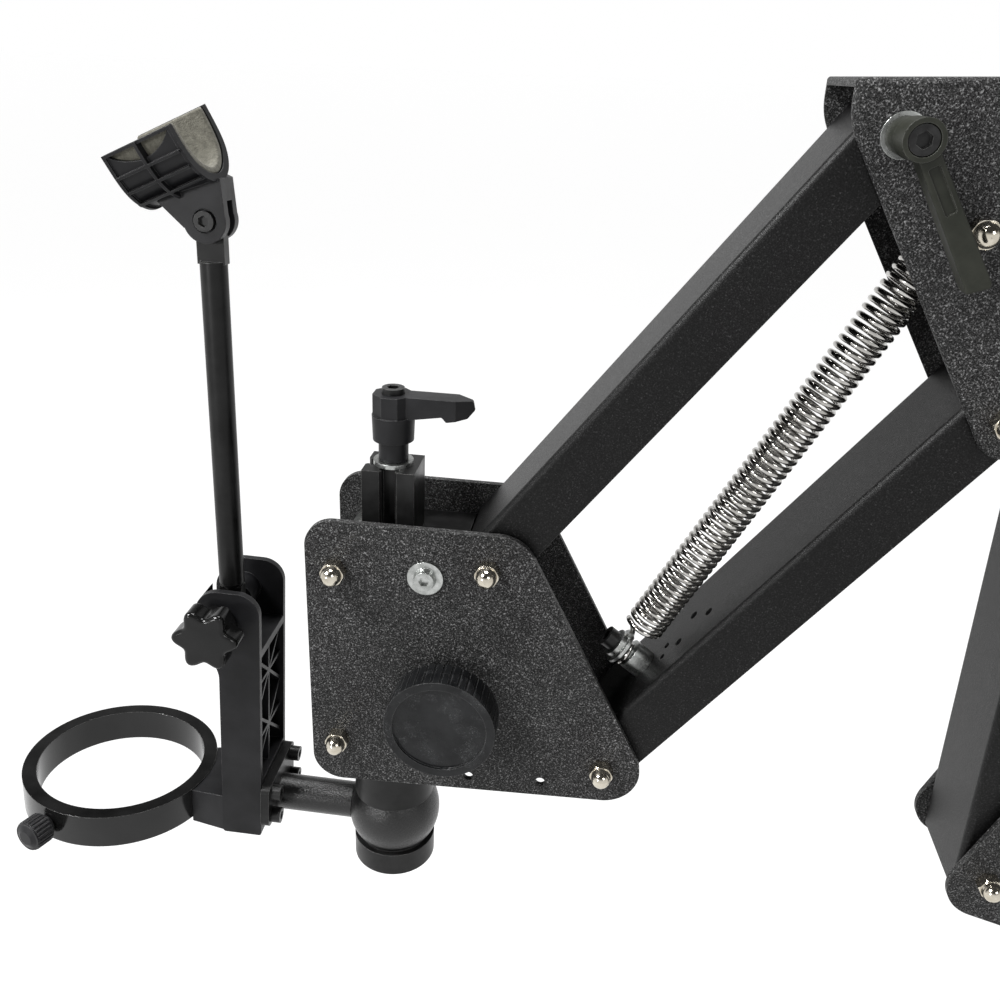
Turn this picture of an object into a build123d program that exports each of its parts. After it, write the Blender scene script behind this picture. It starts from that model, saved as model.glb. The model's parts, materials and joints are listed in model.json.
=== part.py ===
from build123d import *
import math
import os

# ---------------------------------------------------------------------------
# Spring-balanced double-parallelogram stand for a stereo microscope.
# Millimetres, +Z up.  Origin: centre of the bench clamp's upper jaw, on the
# face that rests on the bench.  The arm reaches out along -X; the middle
# plane of both arms is Y = 0.
# ---------------------------------------------------------------------------

# --- driving dimensions -----------------------------------------------------
LINK_D = 25.0            # channel depth in the swing plane
LINK_W = 49.0            # channel width across
LINK_T = 2.0             # channel sheet
LINK_L = 229.5           # upper arm, pivot to pivot
PLATE_T = 3.0            # head, elbow and base plates
PLATE_IN = 26.5          # half gap between the plates
PLATE_OUT = PLATE_IN + PLATE_T
BOLT_R = 3.0             # M6 pivot bolts
SLEEVE_R = 6.0
RUN = 0.05               # radial running clearance
NUT_AF = 10.0            # M6 acorn nut across flats
RING_R = 42.0            # microscope ring, inner radius (84 mm)
RING_RO = 49.0
RING_H = 17.5
BALL_R = 23.75
COL_X = -360.5           # slide column axis
COL_W = 24.0             # square extrusion
ROD_R = 6.0
BOOM_R = 9.25
KNOB_R = 25.2            # focus knob
MODULE = 1.0             # rack and pinion
PINION_N = 16
HUB_R = 20.0             # bench clamp hub

# pivot centres (x, z)
P1 = (-312.04, 286.08)   # head, upper link
P2 = (-254.63, 186.84)   # head, lower link
P3 = (-175.26, 470.37)   # elbow, upper link
P4 = (-117.85, 371.13)   # elbow, lower link
P5 = (-78.80, 378.10)    # elbow, front link of the lower arm
P6 = (-71.00, 148.16)    # base, front link
P7 = (-21.40, 470.40)    # elbow, rear link
P8 = (-13.60, 240.46)    # base, rear link
N1 = (-380.6, 279.5)     # head stand-offs
N2 = (-381.2, 188.0)
N5 = (-339.5, 280.25)    # guide block screw with washer
SA = (-142.5, 439.8)     # upper spring, bolt in the elbow
SB = (-34.0, 196.0)      # lower spring, bolt in the base bracket
FOC = (-328.5, 216.0)    # focus shaft
BALL = (COL_X, 0.0, 124.0)


# --- small helpers ----------------------------------------------------------
def cyl(r, p0, p1):
    a, b = Vector(*p0), Vector(*p1)
    d = b - a
    pl = Plane(origin=a, z_dir=d)
    return pl * Cylinder(r, d.length, align=(Align.CENTER, Align.CENTER, Align.MIN))


def cone(r0, r1, p0, p1):
    a, b = Vector(*p0), Vector(*p1)
    d = b - a
    pl = Plane(origin=a, z_dir=d)
    return pl * Cone(r0, r1, d.length, align=(Align.CENTER, Align.CENTER, Align.MIN))


def tube(ro, ri, p0, p1):
    return cyl(ro, p0, p1) - cyl(ri, p0, p1)


def box(x0, x1, y0, y1, z0, z1):
    return Pos((x0 + x1) / 2, (y0 + y1) / 2, (z0 + z1) / 2) * Box(x1 - x0, y1 - y0, z1 - z0)


def ycyl(r, p, y0, y1):
    return cyl(r, (p[0], y0, p[1]), (p[0], y1, p[1]))


def ytube(ro, ri, p, y0, y1):
    return ycyl(ro, p, y0, y1) - ycyl(ri, p, y0, y1)


def outline(pts, radii):
    """Closed wire in the XZ plane with rounded corners."""
    n = len(pts)
    segs = []
    for i in range(n):
        p, a, b = pts[i], pts[i - 1], pts[(i + 1) % n]
        r = radii[i]
        ua = (a[0] - p[0], a[1] - p[1]); la = math.hypot(*ua)
        ub = (b[0] - p[0], b[1] - p[1]); lb = math.hypot(*ub)
        ua = (ua[0] / la, ua[1] / la); ub = (ub[0] / lb, ub[1] / lb)
        if r <= 0:
            segs.append((p, None, p))
            continue
        c = ua[0] * ub[0] + ua[1] * ub[1]
        ang = math.acos(max(-1, min(1, c)))
        t = r / math.tan(ang / 2)
        s = (p[0] + ua[0] * t, p[1] + ua[1] * t)
        e = (p[0] + ub[0] * t, p[1] + ub[1] * t)
        bx, bz = ua[0] + ub[0], ua[1] + ub[1]
        bl = math.hypot(bx, bz)
        h = r / math.sin(ang / 2)
        cc = (p[0] + bx / bl * h, p[1] + bz / bl * h)
        m = (cc[0] - bx / bl * r, cc[1] - bz / bl * r)
        segs.append((s, m, e))
    edges = []
    for i in range(n):
        s, m, e = segs[i]
        nx = segs[(i + 1) % n][0]
        if m is not None:
            edges.append(Edge.make_three_point_arc((s[0], 0, s[1]), (m[0], 0, m[1]), (e[0], 0, e[1])))
        if math.hypot(nx[0] - e[0], nx[1] - e[1]) > 1e-4:
            edges.append(Edge.make_line((e[0], 0, e[1]), (nx[0], 0, nx[1])))
    return Wire(edges)


def prism(pts, radii, y0, y1):
    if not isinstance(radii, (list, tuple)):
        radii = [radii] * len(pts)
    f = Face(outline(pts, radii))
    s = Solid.extrude(f, Vector(0, y1 - y0, 0))
    return Part() + (Pos(0, y0, 0) * s)


def acorn(p, y, side):
    """M6 acorn nut seated on a plate face at y, pointing along side*Y."""
    h = 5.2
    pl = Plane(origin=(p[0], y, p[1]), x_dir=(1, 0, 0), z_dir=(0, side, 0))
    n = extrude(RegularPolygon(NUT_AF / 2, 6, major_radius=False), h)
    n = n & Cone(8.3, 4.3, h + 1.6, align=(Align.CENTER, Align.CENTER, Align.MIN))
    skirt = Cone(4.75, 4.45, 1.4, align=(Align.CENTER, Align.CENTER, Align.MIN))
    n = n + Pos(0, 0, h) * skirt
    dome = Pos(0, 0, h + 1.4) * Sphere(4.45)
    dome = dome & Pos(0, 0, h + 1.4) * Cylinder(6, 6, align=(Align.CENTER, Align.CENTER, Align.MIN))
    n = n + dome
    n = n - Cylinder(BOLT_R + 0.02, 8.2, align=(Align.CENTER, Align.CENTER, Align.MIN))
    return pl * n


def stud(p):
    """Threaded rod through both plates, its ends inside two acorn nuts."""
    return ycyl(BOLT_R, p, -PLATE_OUT - 7.8, PLATE_OUT + 7.8)


def cap_screw(p0, p1, r_thread, r_head, h_head):
    """Socket head cap screw: tip p0, seat p1, head beyond p1."""
    a, b = Vector(*p0), Vector(*p1)
    u = (b - a).normalized()
    e = b + u * h_head
    s = cyl(r_thread, a, b) + cyl(r_head, b, e)
    pl = Plane(origin=e - u * (h_head * 0.55), z_dir=u)
    hexa = pl * extrude(RegularPolygon(r_head * 0.5, 6, major_radius=False), h_head)
    return s - hexa


def group(*items):
    sol = []
    for it in items:
        sol.extend(it.solids())
    return Compound(children=sol)


OUT = {}


def put(name, shape):
    OUT[name] = shape


# --- links ------------------------------------------------------------------
def channel(pa, pb, side, holes=(), square=False):
    """Folded channel from pivot pa to pivot pb.  side=+1 puts the web on the
    left-hand side of the direction pa -> pb.  square=True leaves the pa end
    cut straight across, web and all."""
    L = math.hypot(pb[0] - pa[0], pb[1] - pa[1])
    u = ((pb[0] - pa[0]) / L, (pb[1] - pa[1]) / L)
    # local frame: X along the link, Y across the arm, Z = X x Y
    pl = Plane(origin=(pa[0], 0, pa[1]), x_dir=(u[0], 0, u[1]), z_dir=(-u[1], 0, u[0]))
    h, w, t = LINK_D / 2, LINK_W / 2, LINK_T
    body = box(-h, L + h, -w, w, -h, h)
    top = h if side > 0 else -h
    es = [e for e in body.edges().filter_by(Axis.X) if abs(e.center().Z - top) < 1e-3]
    body = fillet(es, 3.0)
    z0, z1 = (-h - 1, h - t) if side > 0 else (-h + t, h + 1)
    body = body - box(-h - 1, L + h + 1, -w + t, w - t, z0, z1)
    prof = box(0, L, -w - 1, w + 1, -h, h)
    prof += cyl(h, (0, -w - 1, 0), (0, w + 1, 0)) + cyl(h, (L, -w - 1, 0), (L, w + 1, 0))
    if square:
        prof += box(-h + 0.5, 1, -w - 1, w + 1, -h, h)
    body = body & prof
    e = 5.0
    z0, z1 = (h - t - 0.01, h + 1) if side > 0 else (-h - 1, -h + t + 0.01)
    body = body - box(L + e, L + h + 1, -w + t, w - t, z0, z1)
    if not square:
        body = body - box(-h - 1, -e, -w + t, w - t, z0, z1)
    for x in (0, L):
        body = body - cyl(BOLT_R + RUN, (x, -w - 1, 0), (x, w + 1, 0))
    for (x, y, r) in holes:
        body = body - cyl(r, (x, y, z0), (x, y, z1))
    return pl * body, pl


def sleeves(pa, pb):
    w = LINK_W / 2 - LINK_T
    return group(ytube(SLEEVE_R, BOLT_R + RUN, pa, -w, w), ytube(SLEEVE_R, BOLT_R + RUN, pb, -w, w))


AX = 42.7                # spring anchor, distance from the pivot along the web
spare = [(AX, 0, 3.05), (AX + 13.0, -8.5, 1.6), (AX + 16.5, -3.0, 1.6), (AX + 24.0, -8.5, 2.2), (AX + 35.0, 2.0, 2.2), (AX + 44, -6, 2.2)]
ut, _ = channel(P1, P3, +1)
ub, PLB = channel(P2, P4, +1, spare)
lf, _ = channel(P6, P5, +1, square=True)
lr, PLR = channel(P8, P7, +1, [(LINK_L - AX, 0, 3.05), (LINK_L - AX - 17, 4, 2.2), (LINK_L - AX - 26, -4, 2.2)])
put("upper_link_top", ut)
put("upper_link_bottom", ub)
put("lower_link_front", lf)
put("lower_link_rear", lr)
put("upper_top_sleeves", sleeves(P1, P3))
put("upper_bottom_sleeves", sleeves(P2, P4))
put("lower_front_sleeves", sleeves(P6, P5))
put("lower_rear_sleeves", sleeves(P8, P7))


HOOK_H = 11.2            # hook height above the web


def anchor(pl, x):
    """Screw, nut and spool that hold a spring's hook on a link's web."""
    h = LINK_D / 2
    scr = cyl(3.0, (x, 0, h - 9), (x, 0, h + 17.8)) + cyl(5.0, (x, 0, h + 17.8), (x, 0, h + 23.2))
    scr = scr - (Pos(x, 0, h + 20.2) * extrude(RegularPolygon(2.5, 6, major_radius=False), 5))
    scr = scr + (Pos(x, 0, h - 9) * (extrude(RegularPolygon(5.0, 6, major_radius=False), 5) - Cylinder(3.0, 20)))
    spool = Cylinder(7.2, 9.0, align=(Align.CENTER, Align.CENTER, Align.MIN))
    spool += Pos(0, 0, 9.0) * Cylinder(5.0, 4.6, align=(Align.CENTER, Align.CENTER, Align.MIN))
    spool += Pos(0, 0, 13.6) * Cylinder(9.0, 1.5, align=(Align.CENTER, Align.CENTER, Align.MIN))
    spool += Pos(0, 0, 15.1) * Cylinder(7.0, 2.7, align=(Align.CENTER, Align.CENTER, Align.MIN))
    spool = Pos(x, 0, h) * (spool - Cylinder(3.02, 60))
    return pl * scr, pl * spool


scr, spool = anchor(PLB, AX)
put("spring_anchor_screw", scr)
put("spring_anchor_collar", spool)
scr2, spool2 = anchor(PLR, LINK_L - AX)
put("lower_spring_anchor", group(scr2, spool2))


def spring(a, b, hook_a, hook_b):
    """Close-wound tension spring as a plain sleeve with two hook stems."""
    A, B = Vector(*a), Vector(*b)
    u = (B - A).normalized()
    s = A + u * hook_a
    e = B - u * hook_b
    body = tube(9.35, 7.0, s, e)
    body += cyl(8.2, s, (s + u * 2.3)) + cyl(8.2, (e - u * 2.3), e)
    body += cyl(1.15, (A + u * (hook_a - 11)), (s + u))
    body += cyl(1.15, (e - u), (B - u * (hook_b - 11)))
    return body


LA = PLB.from_local_coords(Vector(AX, 0, LINK_D / 2 + HOOK_H))
LR = PLR.from_local_coords(Vector(LINK_L - AX, 0, LINK_D / 2 + HOOK_H))
put("arm_spring", spring((LA.X, 0, LA.Z), (SA[0], 0, SA[1]), 17.5, 17.0))
put("lower_arm_spring", spring((SB[0], 0, SB[1]), (LR.X, 0, LR.Z), 17.0, 17.5))

# --- head plates ------------------------------------------------------------
HEAD = [(-394.0, 303.3), (-297.2, 303.3), (-225.7, 169.9), (-394.0, 163.05)]
HEAD_R = [13.0, 17.5, 17.5, 14.0]


def head_plate(y0, y1):
    p = prism(HEAD, HEAD_R, y0, y1)
    for q in (P1, P2, N1, N2, N5):
        p = p - ycyl(BOLT_R + RUN, q, y0 - 1, y1 + 1)
    for q in ((-282.9, 175.4), (-317.6, 173.8)):
        p = p - ycyl(2.4, q, y0 - 1, y1 + 1)
    p = p - ycyl(8.0, FOC, y0 - 1, y1 + 1)
    return p


put("head_plate_near", head_plate(-PLATE_OUT, -PLATE_IN))
put("head_plate_far", head_plate(PLATE_IN, PLATE_OUT))
put("head_bolts", group(stud(P1), stud(P2), stud(N1), stud(N2)))
put("head_nuts", group(*[acorn(q, s * PLATE_OUT, s) for q in (P1, P2, N1, N2) for s in (-1, 1)]))


def washers(q):
    w = LINK_W / 2 + RUN
    return [ytube(7.5, BOLT_R + 0.02, q, -PLATE_IN, -w), ytube(7.5, BOLT_R + 0.02, q, w, PLATE_IN)]


put("head_spacers", group(*washers(P1), *washers(P2),
                          ytube(4.5, BOLT_R + 0.02, N1, -PLATE_IN, PLATE_IN),
                          ytube(4.5, BOLT_R + 0.02, N2, -PLATE_IN, PLATE_IN)))

# guide block: square guide for the column, bore for the focus shaft
HC = COL_W / 2
bx0, bx1 = COL_X - HC - 2.7, -317.0
blk = box(bx0, bx1, -PLATE_IN, PLATE_IN, 190.0, 287.0)
blk = blk - box(COL_X - HC - RUN, COL_X + HC + RUN, -HC - RUN, HC + RUN, 180, 300)
RACK_X = FOC[0] - MODULE * PINION_N / 2          # rack pitch line
blk = blk - box(COL_X + HC, RACK_X + 1.4, -5.4, 5.4, 180, 300)
blk = blk - ycyl(5.05, FOC, -40, 40)
blk = blk - ycyl(9.6, FOC, -5.4, 5.4) - box(FOC[0], bx1 + 1, -5.4, 5.4, FOC[1] - 9.6, FOC[1] + 9.6)
blk = blk - ycyl(3.0, N5, -40, -12) - ycyl(3.0, N5, 12, 40)
blk = blk - ycyl(13.6, P1, -40, 40)      # room for the upper link's end
put("guide_block", blk)


def n5_screw(s):
    w = ytube(8.0, 3.02, N5, s * PLATE_OUT, s * (PLATE_OUT + 1.5)) if s > 0 else ytube(8.0, 3.02, N5, -(PLATE_OUT + 1.5), -PLATE_OUT)
    y = PLATE_OUT + 1.5
    hd = cyl(2.98, (N5[0], s * 13, N5[1]), (N5[0], s * y, N5[1]))
    hd += cone(5.2, 4.4, (N5[0], s * y, N5[1]), (N5[0], s * (y + 3.0), N5[1]))
    pl = Plane(origin=(N5[0], s * (y + 1.2), N5[1]), x_dir=(1, 0, 0), z_dir=(0, s, 0))
    hd = hd - pl * extrude(RegularPolygon(2.0, 6, major_radius=False), 4)
    return [w, hd]


put("block_screws", group(*n5_screw(-1), *n5_screw(1)))

# --- focus slide ------------------------------------------------------------
Z_TOP = 321.0
Z_SOCK = 168.0
col = box(COL_X - HC, COL_X + HC, -HC, HC, Z_SOCK, Z_TOP)
slot_w, lip, under, deep = 3.1, 1.8, 5.4, 4.6


def tslot(ax):
    a = [(-slot_w, 0.0), (-slot_w, -lip), (-under, -lip), (-slot_w, -deep - 0.8), (slot_w, -deep - 0.8), (under, -lip), (slot_w, -lip), (slot_w, 0.0)]
    a = [(-slot_w - 1.4, 0.6), (-slot_w, -1.0)] + a[1:-1] + [(slot_w, -1.0), (slot_w + 1.4, 0.6)]
    f = Face(Wire.make_polygon([(p[0], p[1], 0) for p in a], close=True))
    s = Part() + Solid.extrude(f, Vector(0, 0, Z_TOP - Z_SOCK + 2))
    return Pos(COL_X, 0, Z_SOCK - 1) * Rot(0, 0, ax) * Pos(0, HC, 0) * s


for ax in (0, 90, 180):
    col = col - tslot(ax)
col = col - cyl(4.25, (COL_X, 0, 100), (COL_X, 0, 340))
put("slide_column", col)

m = MODULE


def rack():
    z0, z1 = 184.0, 258.0
    root = RACK_X - 1.15 * m
    tip = RACK_X + 0.8 * m
    pts = [(COL_X + HC, z0), (root, z0)]
    p = math.pi * m
    ta = math.tan(math.radians(20))
    half = p / 4 - 0.06
    k0 = math.ceil((z0 + 2 - FOC[1]) / p)
    k1 = math.floor((z1 - 2 - FOC[1]) / p)
    for k in range(k0, k1 + 1):
        c = FOC[1] + k * p
        pts += [(root, c - half - 1.15 * m * ta), (tip, c - half + 0.8 * m * ta),
                (tip, c + half - 0.8 * m * ta), (root, c + half + 1.15 * m * ta)]
    pts += [(root, z1), (COL_X + HC, z1)]
    return prism(pts, 0, -5.0, 5.0)


put("focus_rack", rack())


def pinion_profile():
    r = m * PINION_N / 2
    rb = r * math.cos(math.radians(20))
    ra, rr = r + 0.8 * m, r - 1.15 * m
    inv = lambda a: math.tan(a) - a
    half = math.pi / (2 * PINION_N) - 0.06 / r
    def ang(rad):
        a = math.acos(min(1, rb / rad))
        return half + inv(math.radians(20)) - inv(a)
    pts = []
    for k in range(PINION_N):
        # a tooth space faces the rack at rest
        c = math.pi + math.pi / PINION_N + 2 * math.pi * k / PINION_N
        rad = [max(rb, rr) + (ra - max(rb, rr)) * i / 4 for i in range(5)]
        left = [(q, c - ang(q)) for q in rad]
        right = [(q, c + ang(q)) for q in reversed(rad)]
        pts += [(rr, c - ang(rad[0]) - 0.02)] + left + right + [(rr, c + ang(rad[0]) + 0.02)]
    return [(FOC[0] + q * math.cos(t), FOC[1] + q * math.sin(t)) for q, t in pts]


shaft = prism(pinion_profile(), 0, -5.2, 5.2)
KY0 = PLATE_OUT + 7.5        # knob's inner face
KY1 = KY0 + 15.0
shaft += ycyl(5.0, FOC, -KY1 + 3.0, -5.2) + ycyl(5.0, FOC, 5.2, KY1 - 3.0)
put("pinion_shaft", shaft)


def focus_knob(s):
    k = cyl(KNOB_R, (FOC[0], s * KY0, FOC[1]), (FOC[0], s * KY1, FOC[1]))
    k += cyl(14.0, (FOC[0], s * (PLATE_OUT + 0.6), FOC[1]), (FOC[0], s * KY0, FOC[1]))
    for i in range(40):
        a = 2 * math.pi * i / 40
        x, z = FOC[0] + (KNOB_R + 0.15) * math.cos(a), FOC[1] + (KNOB_R + 0.15) * math.sin(a)
        k = k - cyl(0.6, (x, s * (KY0 - 1.0), z), (x, s * (KY1 - 0.5), z))
    k = k - cyl(21.3, (FOC[0], s * (KY1 - 1.2), FOC[1]), (FOC[0], s * (KY1 + 1), FOC[1]))
    k = k - cyl(5.02, (FOC[0], 0, FOC[1]), (FOC[0], s * (KY1 - 2.9), FOC[1]))
    return k


put("focus_knob_near", focus_knob(-1))
put("focus_knob_far", focus_knob(1))

bz = BALL[2]
sock = cyl(20.5, (COL_X, 0, bz + 13.6), (COL_X, 0, Z_SOCK))
sock = sock - Pos(*BALL) * Sphere(BALL_R + 0.05) - cyl(4.25, (COL_X, 0, 90), (COL_X, 0, 340))
put("ball_socket", sock)
put("column_washer", tube(9.0, 4.25, (COL_X, 0, Z_TOP), (COL_X, 0, Z_TOP + 2.0)))
cup_z0, cup_z1 = bz - 28.3, bz - 15.6
bolt = cyl(4.0, (COL_X, 0, cup_z0 + 6.0), (COL_X, 0, Z_TOP + 25.5))
bolt += cyl(7.0, (COL_X, 0, cup_z0 + 2.2), (COL_X, 0, cup_z0 + 6.0))
put("draw_bolt", bolt)

# lower cup and its nylon seat
cup = cyl(21.2, (COL_X, 0, cup_z0), (COL_X, 0, cup_z1)) - cyl(18.6, (COL_X, 0, cup_z0 + 9.0), (COL_X, 0, cup_z1 + 1))
cup = cup - cyl(7.1, (COL_X, 0, cup_z0 - 1), (COL_X, 0, cup_z0 + 6.1)) - cyl(4.1, (COL_X, 0, cup_z0), (COL_X, 0, cup_z1 + 1))
cup = cup - Pos(*BALL) * Sphere(BALL_R + 0.3)
put("ball_cup", cup)
lin = cyl(18.5, (COL_X, 0, cup_z0 + 9.0), (COL_X, 0, bz - 13.8)) - Pos(*BALL) * Sphere(BALL_R + 0.05)
lin = lin - cyl(8.0, (COL_X, 0, cup_z0), (COL_X, 0, bz))
put("cup_liner", lin)

# --- slide clamping lever -----------------------------------------------------
lz = Z_TOP + 2.0 + 0.1
lev = cyl(6.7, (COL_X, 0, lz), (COL_X, 0, lz + 9.5))
lev += cone(9.2, 9.6, (COL_X, 0, lz + 9.5), (COL_X, 0, lz + 21.0))
hd = extrude(RegularPolygon(8.6, 8, major_radius=False), 9.8)
lev += Pos(COL_X, 0, lz + 21.0) * Rot(0, 0, 22.5) * hd
arm = prism([(COL_X + 2, lz + 19.6), (COL_X + 22.5, lz + 23.0), (COL_X + 24.5, lz + 20.8), (COL_X + 33.5, lz + 22.4),
             (COL_X + 36.5, lz + 26.0), (COL_X + 35.5, lz + 30.2), (COL_X + 28, lz + 30.8), (COL_X + 2, lz + 30.8)],
            [0, 0.8, 0.8, 1.2, 1.2, 1.0, 0.8, 0], -5.4, 5.4)
arm = arm - (Pos(COL_X + 28.5, -5.4, 0) * Rot(0, 0, 32) * Box(30, 8, 900, align=(Align.MIN, Align.MAX, Align.CENTER)))
arm = arm - (Pos(COL_X + 28.5, 5.4, 0) * Rot(0, 0, -32) * Box(30, 8, 900, align=(Align.MIN, Align.MIN, Align.CENTER)))
lev += arm
lev = lev - cyl(4.05, (COL_X, 0, lz - 1), (COL_X, 0, lz + 24.2)) - cyl(3.0, (COL_X, 0, lz), (COL_X, 0, lz + 40)) \
    - cyl(5.1, (COL_X, 0, lz + 28.8), (COL_X, 0, lz + 40))
put("slide_lever", lev)
put("slide_lever_screw", cap_screw((COL_X, 0, lz + 24.4), (COL_X, 0, lz + 28.9), 2.95, 5.0, 4.6))

# --- boom, bracket and ring: a tilted local frame at the ball's centre ------------
PAN, TILT, ROLL = math.radians(2.5), math.radians(2.2), math.radians(3.0)
nz = Vector(math.tan(TILT), math.tan(ROLL), 1).normalized()
xx = Vector(math.cos(PAN), math.sin(PAN), 0)
xx = (xx - nz * xx.dot(nz)).normalized()
TIP = Plane(origin=BALL, x_dir=xx, z_dir=nz)

ball = Sphere(BALL_R) - cyl(6.5, (0, 0, -30), (0, 0, 30))
ball = ball - cone(6.5, 11.5, (0, 0, 5), (0, 0, 24)) - cone(11.5, 6.5, (0, 0, -24), (0, 0, -5))
ball = ball - cyl(5.0, (-24, 0, 0), (-13, 0, 0))
put("clamp_ball", TIP * ball)
FX = -61.6               # outer face of the boom's flange
bt = cyl(BOOM_R, (FX, 0, 0), (-BALL_R + 2.2, 0, 0)) - Sphere(BALL_R + 0.01)
bt += cyl(4.98, (-30, 0, 0), (-13.5, 0, 0))
put("boom_tube", TIP * bt)
fl = prism([(-66, -7.0), (FX, -7.0), (FX, 17.0), (-66, 17.0)], 0, -23, 23)
flc = []
for (sy, sz) in ((-1, -1), (-1, 1), (1, -1), (1, 1)):
    flc.append((sy * 17.0, 5.0 + sz * 7.0))
fl = fillet([e for e in fl.edges().filter_by(Axis.X)], 4.0)
for (y, z) in flc:
    fl = fl - cyl(2.05, (-67, y, z), (-59, y, z))
put("boom_flange", TIP * fl)
put("flange_screws", group(*[TIP * cap_screw((-80, y, z), (FX, y, z), 2.0, 4.0, 5.0) for (y, z) in flc]))

# bracket: open-backed ribbed shell with two rounded cheeks and a foot
PV = (-86.55, 110.5)         # pivot of the rod between the cheeks (local x, z)
W2 = 21.5
cheek_pts = [(-66, -13), (-66.6, 126.5), (-97.5, 126.5), (-97.5, 97), (-86.7, 84), (-86.2, -13)]
out = prism(cheek_pts, [1.5, 11, 11, 8, 14, 1.5], -W2, W2)
out = out - prism([(-60, 20.0), (-60, 92.0), (-83.6, 92.0), (-83.6, 20.0)], [0, 0, 2, 2], -W2 + 3, W2 - 3)
out = out - prism([(-60, 98), (-60, 150), (-120, 150), (-120, 98)], 0, -6.8, 6.8)
out = out - prism([(-60, 96), (-60, 150), (-94.2, 150), (-94.2, 103), (-88, 96)], 0, -W2 + 3.4, W2 - 3.4)
for s in (-1, 1):
    # bosses that close on the rod's eye
    out += cyl(8.2, (PV[0], s * 4.2, PV[1]), (PV[0], s * (W2 - 3.3), PV[1]))


def rib(p, q, t=1.6):
    dy, dz = q[0] - p[0], q[1] - p[1]
    L = math.hypot(dy, dz)
    r = Plane(origin=(-84.0, p[0], p[1]), x_dir=(0, dy / L, dz / L), z_dir=(1, 0, 0)) * \
        Box(L, t, 15.5, align=(Align.MIN, Align.CENTER, Align.MIN))
    return r


R = W2 - 2.5
for (p, q) in [((-R, 26), (R, 58)), ((R, 26), (-R, 58)), ((-R, 58), (R, 90)), ((R, 58), (-R, 90)),
               ((-R, 42), (R, 42)), ((-R, 74), (R, 74)), ((0, 19), (0, 93))]:
    out += rib(p, q)
# foot that carries the ring
foot = prism([(-84, -12.0), (-84, 9.2), (-87, 9.2), (-110, 7.6), (-110, -11.0)], [0, 0, 0, 0, 0], -W2, W2)
wedge = Face(Wire.make_polygon([(-84, -21.5, -20), (-86.4, -21.5, -20), (-103.6, -18.6, -20), (-103.6, 18.6, -20), (-86.4, 21.5, -20), (-84, 21.5, -20)], close=True))
foot = foot & (Part() + Solid.extrude(wedge, Vector(0, 0, 80)))
out += foot
out = out - cyl(RING_RO + 0.02, (-148.8, 0, -30), (-148.8, 0, 60))
out = out - cyl(4.05, (PV[0], -30, PV[1]), (PV[0], 30, PV[1]))
for (y, z) in flc:
    out = out - cyl(2.03, (-81, y, z), (-60, y, z))
out = out - cyl(2.55, (-101, 0, 0), (-60, 0, 0)) - cyl(5.0, (-92, 0, 0), (-60, 0, 0))
put("scope_bracket", TIP * out)

ring = tube(RING_RO, RING_R, (-148.8, 0, -RING_H / 2), (-148.8, 0, RING_H / 2))
TS = math.radians(249.0)       # thumb screw direction in the ring's plane
tx, ty = math.cos(TS), math.sin(TS)
ring = ring - cyl(2.55, (-148.8 + tx * 35, ty * 35, 0), (-148.8 + tx * 55, ty * 55, 0))
put("scope_ring", TIP * ring)


def thumb():
    c = -148.8
    p = lambda r: (c + tx * r, ty * r, 0)
    s = cyl(2.5, p(42.6), p(52)) + cyl(4.6, p(49.6), p(52)) + cyl(7.2, p(52), p(61.5))
    for i in range(24):
        a = 2 * math.pi * i / 24
        e = Vector(-ty * math.cos(a) * 7.2, tx * math.cos(a) * 7.2, math.sin(a) * 7.2)
        q0, q1 = Vector(*p(52.6)) + e, Vector(*p(60.6)) + e
        s += cyl(0.6, q0, q1)
    s += cone(6.2, 3.6, p(61.5), p(62.7))
    return s


put("ring_thumb_screw", TIP * thumb())

# rest rod, its star knob and the cradle
lobes = 6
prof = []
for i in range(120):
    a = 2 * math.pi * i / 120
    r = 13.5 + 2.1 * math.cos(lobes * a)
    prof.append((PV[0] + r * math.cos(a), -29.0, PV[1] + r * math.sin(a)))
sp = Face(Wire([Edge.make_spline([Vector(*q) for q in prof], periodic=True)]))
star = Part() + Solid.extrude(sp, Vector(0, -12.0, 0))
star = fillet([e for e in star.edges() if abs(e.center().Y + 41.0) < 1e-3], 2.2)
star = fillet([e for e in star.edges() if abs(e.center().Y + 29.0) < 1e-3], 1.2)
star += cone(9.5, 11.0, (PV[0], -W2 - 0.6, PV[1]), (PV[0], -29.0, PV[1]))
star += cyl(4.0, (PV[0], W2 + 4.0, PV[1]), (PV[0], -25.0, PV[1]))
star += cyl(6.2, (PV[0], W2 + 0.5, PV[1]), (PV[0], W2 + 4.0, PV[1]))
put("star_knob", TIP * star)

ROD_L = 183.6            # pivot to pivot
LEAN = math.radians(2.17)
rz = (TIP.z_dir * math.cos(LEAN) - TIP.x_dir * math.sin(LEAN)).normalized()
rx = (TIP.x_dir * math.cos(LEAN) + TIP.z_dir * math.sin(LEAN)).normalized()
RODP = Plane(origin=TIP.from_local_coords(Vector(PV[0], 0, PV[1])), x_dir=rx, z_dir=rz)
rod = cyl(ROD_R, (0, 0, 12), (0, 0, ROD_L - 17.5))
rod += cone(3.2, ROD_R, (0, 0, 8), (0, 0, 12))
rod += box(-5.5, 5.5, -3.0, 3.0, 0, 10) + cyl(5.5, (0, -3.0, 0), (0, 3.0, 0))
rod += box(-6.1, 6.1, -3.0, 3.0, ROD_L - 18.5, ROD_L) + cyl(6.1, (0, -3.0, ROD_L), (0, 3.0, ROD_L))
rod = rod - cyl(4.0 + RUN, (0, -10, 0), (0, 10, 0)) - cyl(2.0 + RUN, (0, -10, ROD_L), (0, 10, ROD_L))
put("rest_rod", RODP * rod)

CR = Plane(origin=RODP.from_local_coords(Vector(0, 0, ROD_L)), x_dir=RODP.x_dir, z_dir=RODP.z_dir)
TL, TD = 35.0, 26.5        # trough length and depth


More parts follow.
